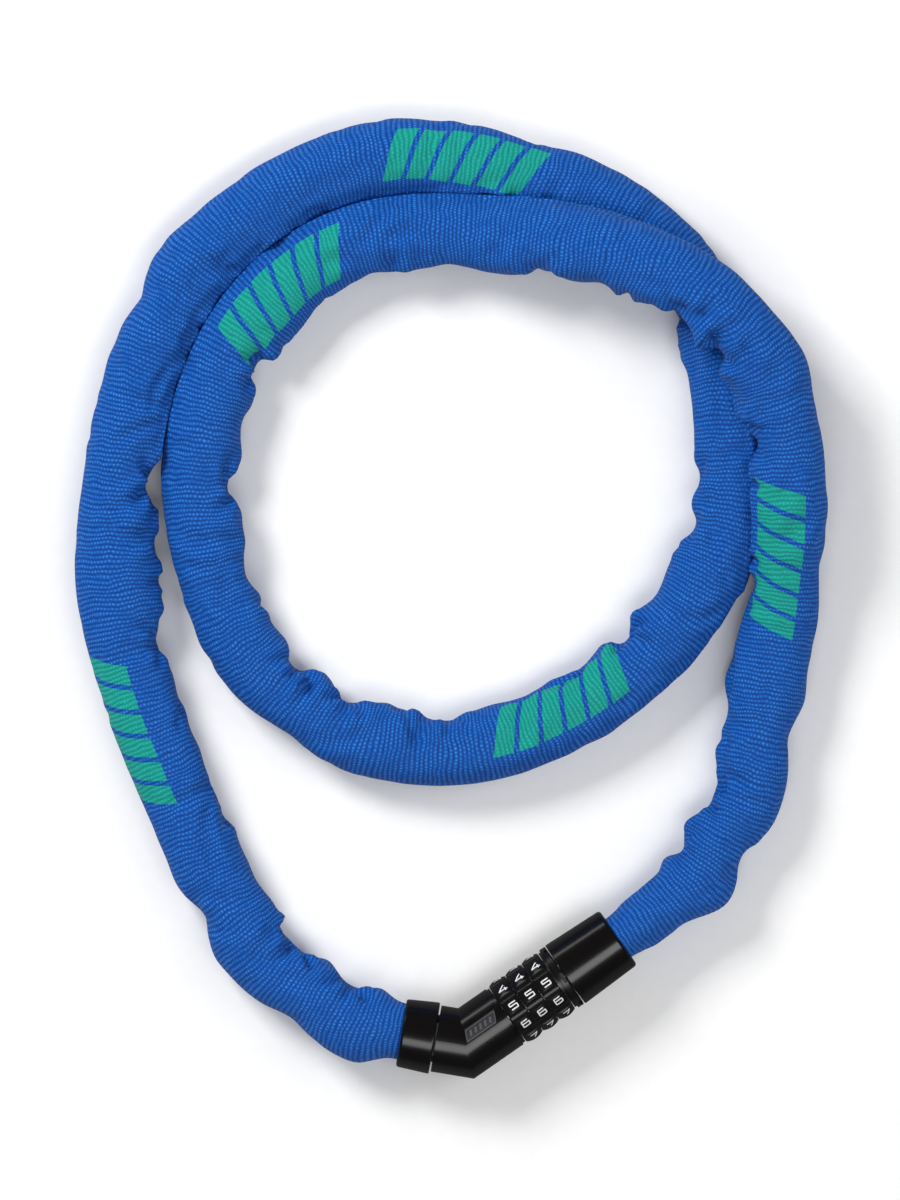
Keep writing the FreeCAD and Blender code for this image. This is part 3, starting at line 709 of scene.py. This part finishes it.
def crease_depth(along, around):
    """Depth of all creases at every point of the grid: a narrow valley between low lips."""
    chance = random.Random(11)
    depth = np.zeros((len(along), len(around)))
    girth = 2 * math.pi * GIRTH_RADIUS
    creases = deep_creases() + pucker_creases(chance) + loose_creases(chance)
    for u, v, run, rise, length, width, deep in creases:
        near = np.abs(along - u) < length / 2 + 4 * width
        du = (along[near] - u)[:, None]
        dv = ((around - v + girth / 2) % girth - girth / 2)[None, :]
        lengthwise = du * run + dv * rise
        across = du * rise - dv * run + 0.02 * lengthwise ** 2
        ends = ease((length / 2 - np.abs(lengthwise)) / (0.4 * length))
        valley = np.exp(-(across / width) ** 2)
        lips = np.exp(-((np.abs(across) - 2 * width) / width) ** 2)
        depth[near] += deep * ends * (valley - 0.45 * lips)
    return depth


def outward(points, middle):
    """Unit normals of the grid, pointing away from the sleeve's middle."""
    lengthwise = np.gradient(points, axis=0)
    round_it = np.roll(points, -1, axis=1) - np.roll(points, 1, axis=1)
    normal = np.cross(lengthwise, round_it)
    normal /= np.maximum(np.linalg.norm(normal, axis=2, keepdims=True), 1e-9)
    facing = ((points - middle[:, None]) * normal).sum(axis=2, keepdims=True)
    return normal * np.sign(facing)


def points_on_links():
    """Points along the edges of every link, in millimetres."""
    found = []
    for name in CHAIN_NODES:
        mesh = NODES[name].data
        points = np.array([v.co for v in mesh.vertices]) / MM
        edges = np.array([e.vertices for e in mesh.edges])
        share = np.linspace(0, 1, 7)[:, None, None]
        spread = points[edges[:, 0]] * (1 - share) + points[edges[:, 1]] * share
        found.append(spread.reshape(-1, 3))
    return np.concatenate(found)


def link_reach(along, count):
    """How far the links reach from the middle, at each ring and each direction round it."""
    middle, side, top = rings_at(along)
    tree = KDTree(len(along))
    for i, place in enumerate(middle):
        tree.insert(place, i)
    tree.balance()
    points = points_on_links()
    ring = np.array([tree.find(point)[1] for point in points])
    spoke = points - middle[ring]
    x, y = (spoke * side[ring]).sum(axis=1), (spoke * top[ring]).sum(axis=1)
    direction = np.round(np.arctan2(y, x) / (2 * math.pi) * count).astype(int) % count
    reach = np.zeros((len(along), count))
    np.maximum.at(reach, (ring, direction), np.hypot(x, y))
    for _ in range(2):
        reach = np.maximum.reduce([reach, np.roll(reach, 1, axis=1), np.roll(reach, -1, axis=1)])
        wider = reach.copy()
        wider[1:] = np.maximum(wider[1:], reach[:-1])
        wider[:-1] = np.maximum(wider[:-1], reach[1:])
        reach = wider
    return reach


def evened(points):
    """Each point moved a little towards the middle of its four neighbours; the end rings stay."""
    round_it = np.roll(points, 1, axis=1) + np.roll(points, -1, axis=1)
    out = points.copy()
    out[1:-1] = 0.6 * points[1:-1] + 0.1 * (round_it[1:-1] + points[:-2] + points[2:])
    return out


def keep_off_chain(points, along):
    """Moves points that are nearer to the middle than the links reach back out."""
    middle, side, top = rings_at(along)
    spoke = points - middle[:, None]
    x, y = (spoke * side[:, None]).sum(axis=2), (spoke * top[:, None]).sum(axis=2)
    count = points.shape[1]
    direction = np.round(np.arctan2(y, x) / (2 * math.pi) * count).astype(int) % count
    low = link_reach(along, count)[np.arange(len(along))[:, None], direction] + CHAIN_ROOM
    away = np.hypot(x, y)
    reach = softly_above(away, low)
    return points + spoke * (reach / away - 1)[..., None]


def press_together(points, along):
    """Where two turns lie side by side or cross, both end at the middle between them."""
    stations = np.arange(0, LINE.length, 1.5)
    others = LINE.at(stations)[0]
    for i, middle in enumerate(LINE.at(along)[0]):
        near = others[np.abs(stations - along[i]) > OTHER_TURN]
        near = near[np.linalg.norm(near - middle, axis=1) < NEAR_TURN]
        if not len(near):
            continue
        for _ in range(3):
            spoke = points[i] - middle
            own = np.linalg.norm(spoke, axis=1)
            other = np.linalg.norm(points[i][:, None] - near[None], axis=2).min(axis=1)
            past = own - other + CONTACT_GAP
            past = np.where(past > 0, past, past * ease(1 + past / SWELL))
            points[i] -= spoke * (past / (2 * own))[:, None]
    return points


def sleeve_mesh(points, along):
    """The whole sleeve as one open tube, with its cloth coordinates in millimetres."""
    rings, count = points.shape[:2]
    obj = new_object("sleeve_whole", (points * MM).reshape(-1, 3), grid_faces(rings, count))
    layer = obj.data.uv_layers.new(name="cloth")
    around = around_cloth(count)
    girth = 2 * math.pi * GIRTH_RADIUS
    for polygon in obj.data.polygons:
        for loop in polygon.loop_indices:
            i, j = divmod(obj.data.loops[loop].vertex_index, count)
            seam = polygon.index % count == count - 1 and j == 0
            layer.data[loop].uv = (along[i], around[j] - (girth if seam else 0))
    return obj


# Pieces of the sleeve: name, first and last place, what they ride on or lie between, the places given for a bend,
# and the CAD stretches they stand for. A piece with one body rides on it; a piece between two stays where it is
# built, unbent.
SLEEVE_PIECES = (
    ("sleeve_cloth_neck", None, 4.5, ("lock_body", "chain_left"), (0.4, 1.9),
     ["sleeve_neck_bend", "sleeve_left_1"]),
    ("sleeve_cloth_left", 4.5, 12.5, ("chain_left", "chain_coil"), (6.5, 9.5),
     ["sleeve_left_2", "sleeve_left_bend", "sleeve_coil_01"]),
    ("sleeve_cloth_coil", 12.5, 48.5, ("chain_coil",), None,
     [f"sleeve_coil_{i:02d}" for i in range(2, 11)]),
    ("sleeve_cloth_right", 48.5, 54.5, ("chain_coil", "chain_right"), (51.6, 54.4),
     ["sleeve_coil_11", "sleeve_right_bend", "sleeve_right"]),
    ("sleeve_cloth_tail", 54.5, None, ("chain_right", "chain_tail"), (54.7, 57.3),
     ["sleeve_tail_bend", "sleeve_tail"]),
)


def cut_piece(whole, first, last):
    """A copy of the sleeve's faces between two places, by its cloth coordinates."""
    piece = whole.copy()
    piece.data = whole.data.copy()
    bpy.context.scene.collection.objects.link(piece)
    shape = bmesh.new()
    shape.from_mesh(piece.data)
    layer = shape.loops.layers.uv.active
    low = -1e9 if first is None else first * LINE.pitch
    high = 1e9 if last is None else last * LINE.pitch
    outside = []
    for face in shape.faces:
        place = sum(loop[layer].uv.x for loop in face.loops) / len(face.loops)
        if not low <= place < high:
            outside.append(face)
    bmesh.ops.delete(shape, geom=outside, context="FACES")
    shape.to_mesh(piece.data)
    shape.free()
    return piece


def thicken(piece):
    """Gives the cloth its thickness, inwards."""
    shell = piece.modifiers.new("thickness", "SOLIDIFY")
    shell.thickness = CLOTH_THICKNESS * MM
    shell.offset = -1
    apply_modifiers(piece)
    bpy.ops.object.select_all(action="DESELECT")
    piece.select_set(True)
    bpy.context.view_layer.objects.active = piece
    bpy.ops.object.shade_smooth_by_angle(angle=math.radians(60))


def build_sleeve():
    points, along = sleeve_grid()
    points = simulate_cloth(points)
    points, along = finer(points, along)
    depth = crease_depth(along, around_cloth(points.shape[1]))
    points -= outward(points, LINE.at(along)[0]) * depth[..., None]
    points = press_together(evened(keep_off_chain(points, along)), along)
    points[..., 2] = np.maximum(points[..., 2], GROUND)
    whole = sleeve_mesh(points, along)
    cloth = weave("sleeve_weave")
    whole.data.materials.append(cloth)
    for name, first, last, bodies, bend, stands_for in SLEEVE_PIECES:
        piece = cut_piece(whole, first, last)
        piece.name = name
        thicken(piece)
        if bend is None:
            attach(piece, bodies[0])
        else:
            start, end = (LINE.at(np.array(place * LINE.pitch))[0] * MM for place in bend)
            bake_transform(piece)
        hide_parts(*stands_for)
    bpy.data.objects.remove(whole)


# ---- digits and other raised strokes on the lock body ----
# Strokes of each digit on a unit box, x to the right and y up; True closes a stroke.
DIGITS = {
    0: [([(0, 0), (1, 0), (1, 1), (0, 1)], True)],
    1: [([(0.15, 0.75), (0.55, 1), (0.55, 0)], False)],
    2: [([(0, 1), (1, 1), (1, 0.52), (0, 0.44), (0, 0), (1, 0)], False)],
    3: [([(0, 1), (1, 1), (1, 0), (0, 0)], False), ([(0.3, 0.52), (1, 0.52)], False)],
    4: [([(0.80, 1.1), (-0.12, 0.22), (1.12, 0.22)], False), ([(0.82, 0.6), (0.82, -0.05)], False)],
    5: [([(1, 1), (0, 1), (0, 0.56), (1, 0.56), (1, 0), (0, 0)], False)],
    6: [([(0.9, 1), (0, 1), (0, 0), (1, 0), (1, 0.55), (0.1, 0.55)], False)],
    7: [([(0, 1), (1, 1), (0.42, 0)], False)],
    8: [([(0, 0), (1, 0), (1, 1), (0, 1)], True), ([(0, 0.53), (1, 0.53)], False)],
    9: [([(0.1, 0), (1, 0), (1, 1), (0, 1), (0, 0.45), (0.9, 0.45)], False)],
}
DIGIT_WIDTH = 2.20 * MM
DIGIT_HEIGHT = 1.85 * MM
DIGIT_STROKE = 0.35 * MM
DIGIT_ROUNDING = 0.15 * MM
DIGIT_ASIDE = 0.3 * MM             # from the dial's middle towards the plug
DIGIT_LIFT = 0.035 * MM
STROKE_STEP = 0.5 * MM             # between two points of a straight stroke
STROKE_SINK = 0.05 * MM            # depth of a stroke's foot below the surface it stands on
DIAL_RADIUS = 10.05 * MM
READ_ANGLE = math.radians(9.6)     # the digit 5, from the top towards the left of the dial axis
DIGIT_STEP = math.radians(36)


def rounded(points, closed, radius):
    """A polyline with its corners rounded."""
    points = [np.array(p, float) for p in points]
    count = len(points)
    out = []
    for i, here in enumerate(points):
        if not closed and i in (0, count - 1):
            out.append(here)
            continue
        before = points[i - 1] - here
        after = points[(i + 1) % count] - here
        cut = min(radius, 0.45 * np.linalg.norm(before), 0.45 * np.linalg.norm(after))
        a, b = here + unit(before) * cut, here + unit(after) * cut
        for step in range(5):
            t = step / 4
            out.append((1 - t) ** 2 * a + 2 * t * (1 - t) * here + t * t * b)
    return out


def stroke_outline(points, closed, width):
    """Left and right edge of a stroke along a polyline."""
    count = len(points)
    left, right = [], []
    for i, here in enumerate(points):
        before = points[i - 1] if closed or i > 0 else None
        after = points[(i + 1) % count] if closed or i < count - 1 else None
        into = unit(here - before) if before is not None else unit(after - here)
        out = unit(after - here) if after is not None else into
        along = unit(into + out)
        normal = np.array([-along[1], along[0]])
        spread = width / 2 / max(0.5, float(along @ into))
        left.append(here + normal * spread)
        right.append(here - normal * spread)
    return left, right


class Stamp:
    """Lays thin raised strokes onto a CAD surface of the lock's dial arm."""

    def __init__(self, node, lift):
        mesh = NODES[node].data
        points = [v.co.copy() for v in mesh.vertices]
        self.tree = BVHTree.FromPolygons(points, [tuple(p.vertices) for p in mesh.polygons])
        self.lift = lift
        self.vertices = []
        self.faces = []

    def on_surface(self, x, turn, height):
        """A point at a height above the surface: x from the bend, turn from the top to the left."""
        outward = UP * math.cos(turn) + SPINDLE_LEFT * math.sin(turn)
        axis_point = BEND + SPINDLE * x
        hit = self.tree.ray_cast(Vector(axis_point + outward * 0.03), Vector(-outward))[0]
        return np.array(hit) + outward * height

    def add(self, points, closed, width, x, turn, radius):
        """One stroke, centred at x and turn; radius turns its up distance into an angle."""
        left, right = stroke_outline(points, closed, width)
        first = len(self.vertices)
        top, foot = self.lift, -STROKE_SINK
        for a, b in zip(left, right):
            for point, height in ((a, top), (b, top), (b, foot), (a, foot)):
                place = self.on_surface(x + point[0], turn + point[1] / radius, height)
                self.vertices.append(place)
        count = len(points)
        for i in range(count if closed else count - 1):
            a, b = first + 4 * i, first + 4 * ((i + 1) % count)
            for k in range(4):
                m = (k + 1) % 4
                self.faces.append((a + k, a + m, b + m, b + k))
        if not closed:
            self.faces.append(tuple(first + k for k in (3, 2, 1, 0)))
            self.faces.append(tuple(first + 4 * (count - 1) + k for k in range(4)))

    def finish(self, name, material, body):
        obj = new_object(name, self.vertices, self.faces)
        shape = bmesh.new()
        shape.from_mesh(obj.data)
        bmesh.ops.recalc_face_normals(shape, faces=shape.faces)
        shape.to_mesh(obj.data)
        shape.free()
        obj.data.materials.append(material)
        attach(obj, body)


def stretched(points, step):
    """Extra points along the straight stretches, so that a stroke can follow a round surface."""
    out = [points[0]]
    for a, b in zip(points, points[1:]):
        pieces = max(1, math.ceil(np.linalg.norm(b - a) / step))
        out += [a + (b - a) * i / pieces for i in range(1, pieces + 1)]
    return out


def build_digits():
    ink = painted("digit_paint", (0.86, 0.87, 0.88, 1))
    for dial in range(DIAL_COUNT):
        stamp = Stamp(f"dial_{dial + 1}", DIGIT_LIFT)
        x = FIRST_DIAL + DIGIT_ASIDE + DIAL_PITCH * dial
        for digit, strokes in DIGITS.items():
            turn = READ_ANGLE + DIGIT_STEP * (5 - digit)
            for shape, closed in strokes:
                corners = [((u - 0.5) * DIGIT_WIDTH, (v - 0.5) * DIGIT_HEIGHT) for u, v in shape]
                line = rounded(corners, closed, DIGIT_ROUNDING)
                if closed:
                    line = stretched(line + line[:1], STROKE_STEP)[:-1]
                else:
                    line = stretched(line, STROKE_STEP)
                stamp.add(line, closed, DIGIT_STROKE, x, turn, DIAL_RADIUS)
        stamp.finish(f"digits_{dial + 1}", ink, f"dial_{dial + 1}")


PLATE_RADIUS = 9.4 * MM
PLATE_MIDDLE = 6.4 * MM            # from the bend
PLATE_TURN = 2.1 / 9.4             # from the top towards the left of the dial axis
PLATE_HALF = 5.5 * MM
PLATE_TALL = 1.45 * MM
PLATE_SLANT = 1.22 * MM
RIM_STROKE = 0.22 * MM
BAR_STROKE = 0.62 * MM
BAR_TALL = 0.75 * MM
BAR_PITCH = 1.65 * MM


def build_plate_bars():
    """A thin rim and five slanted bars standing on the name plate."""
    raised = moulded_plastic("plate_bar", (0.10, 0.10, 0.11, 1), 0.32)
    stamp = Stamp("nameplate", 0.10 * MM)
    where = PLATE_MIDDLE, PLATE_TURN, PLATE_RADIUS
    inset = PLATE_HALF - PLATE_SLANT
    rim = [(-PLATE_HALF, -PLATE_TALL), (inset, -PLATE_TALL), (PLATE_HALF, PLATE_TALL),
           (-inset, PLATE_TALL)]
    line = rounded(rim, True, 0.5 * MM)
    stamp.add(stretched(line + line[:1], 0.6 * MM)[:-1], True, RIM_STROKE, *where)
    lean = np.array([PLATE_SLANT * 0.3, BAR_TALL])
    for i in range(5):
        middle = np.array([(i - 2) * BAR_PITCH, 0.0])
        bar = stretched([middle - lean, middle + lean], 0.4 * MM)
        stamp.add(bar, False, BAR_STROKE, *where)
    stamp.finish("nameplate_bars", raised, "lock_body")


# ---- materials of the CAD nodes ----
def dress_frame():
    gloss = moulded_plastic("shell_plastic", (0.0040, 0.0034, 0.0032, 1), 0.22, coat=0.12)
    satin = moulded_plastic("dial_plastic", (0.0055, 0.0050, 0.0052, 1), 0.28)
    plate = moulded_plastic("plate_plastic", (0.035, 0.035, 0.040, 1), 0.38)
    plated = machined_metal("plated_steel", (0.60, 0.60, 0.62, 1), 0.34)
    # Near-black steel for the lock core: painted shade in the seam between the caps and the shell, where the core
    # shows through.
    seam_shade = machined_metal("steel_dark_as_seam_shade", (0.10, 0.10, 0.105, 1), 0.40)
    cast = machined_metal("cast_alloy", (0.70, 0.70, 0.71, 1), 0.45, scratch=900.0)
    spring = machined_metal("spring_wire", (0.45, 0.45, 0.47, 1), 0.25)
    chain = machined_metal("chain_steel", (0.58, 0.58, 0.56, 1), 0.30)
    by_slot = {
        "shell_black": gloss, "dial_black": satin, "ring_black": satin, "plate_grey": plate,
        "mechanism_steel": plated, "tumbler_alloy": cast, "spring_steel": spring,
        "chain_steel": chain,
    }
    for part in frame["record"]["subparts"]:
        material = by_slot.get(part["material_slot"])
        if material is None:
            continue
        mesh = NODES[part["node"]].data
        mesh.materials.clear()
        # The lock core takes the near-black steel, as painted shade in the seam where it shows.
        mesh.materials.append(seam_shade if part["node"] == "lock_core" else material)


# ---- floor, light and camera ----
# Lamps: name, place, point lit, size, power, and whether shiny surfaces mirror it.
LAMPS = (
    ("key", (-0.75, 0.75, 0.85), (0, 0, 0), (0.5, 0.4), 15.5, False),
    ("side", (0.9, 0.2, 0.8), (0, 0, 0), (0.5, 0.8), 3, False),
    ("front", (0.15, -0.42, 1.0), (0, -0.1, 0), (1.0, 0.44), 4.9, True),
    ("rim", (-0.75, 0.85, 0.35), (0, -0.1, 0), (0.5, 0.2), 0.8, True),
)
FLOOR_HALF = 3.0
FLOOR_DROP = 0.2 * MM
CAMERA_HEIGHT = 2.2
FOCUS_HEIGHT = 0.010               # where the picture is FRAME_HEIGHT tall
FRAME_HEIGHT = 0.3402


def area_light(name, place, target, size, power, reflected):
    data = bpy.data.lights.new(name, "AREA")
    data.shape = "RECTANGLE"
    data.size, data.size_y = size
    data.energy = power
    lamp = bpy.data.objects.new(name, data)
    bpy.context.scene.collection.objects.link(lamp)
    lamp.location = place
    direction = Vector(target) - Vector(place)
    lamp.rotation_euler = direction.to_track_quat("-Z", "Y").to_euler()
    lamp.visible_glossy = reflected


def in_reflections(tree, plain, reflected):
    """A value that changes for reflected rays, so that what lies beyond the lamps looks dark."""
    glossy = tree.nodes.new("ShaderNodeLightPath").outputs["Is Glossy Ray"]
    choose = tree.nodes.new("ShaderNodeMapRange")
    choose.inputs["To Min"].default_value = plain
    choose.inputs["To Max"].default_value = reflected
    tree.links.new(glossy, choose.inputs["Value"])
    return choose.outputs["Result"]


def build_floor():
    half = FLOOR_HALF
    corners = [(-half, -half, 0), (half, -half, 0), (half, half, 0), (-half, half, 0)]
    floor = new_object("floor", corners, [(0, 1, 2, 3)])
    floor.location.z = -FLOOR_DROP
    nodes = Nodes("floor_pale")
    speckle = nodes.noise(300.0, 3.0, position(nodes))
    tone = nodes.mix(speckle, grey(0.86), grey(0.90))
    tone = nodes.mix(in_reflections(nodes.tree, 0.0, 1.0), tone, grey(0.12))
    nodes.set(Base_Color=tone, Roughness=0.9, Specular_IOR_Level=0.1)
    floor.data.materials.append(nodes.material)


def build_studio():
    world = bpy.data.worlds.new("studio")
    world.use_nodes = True
    tree = world.node_tree
    background = tree.nodes["Background"]
    background.inputs["Color"].default_value = grey(1)
    tree.links.new(in_reflections(tree, 0.26, 0.05), background.inputs["Strength"])
    bpy.context.scene.world = world
    for lamp in LAMPS:
        area_light(*lamp)


def build_camera():
    """Straight down, with the far side of the coil at the top of the picture."""
    data = bpy.data.cameras.new("camera")
    camera = bpy.data.objects.new("camera", data)
    bpy.context.scene.collection.objects.link(camera)
    data.sensor_fit = "VERTICAL"
    data.sensor_height = 24.0
    data.lens = data.sensor_height * (CAMERA_HEIGHT - FOCUS_HEIGHT) / FRAME_HEIGHT
    camera.location = (-0.6 * MM, 0.3 * MM, CAMERA_HEIGHT)
    data.clip_end = 10.0
    bpy.context.scene.camera = camera


def main():
    dress_frame()
    build_sleeve()
    build_digits()
    build_plate_bars()
    build_floor()
    build_studio()
    build_camera()
    bpy.context.scene.view_settings.view_transform = "Standard"


main()
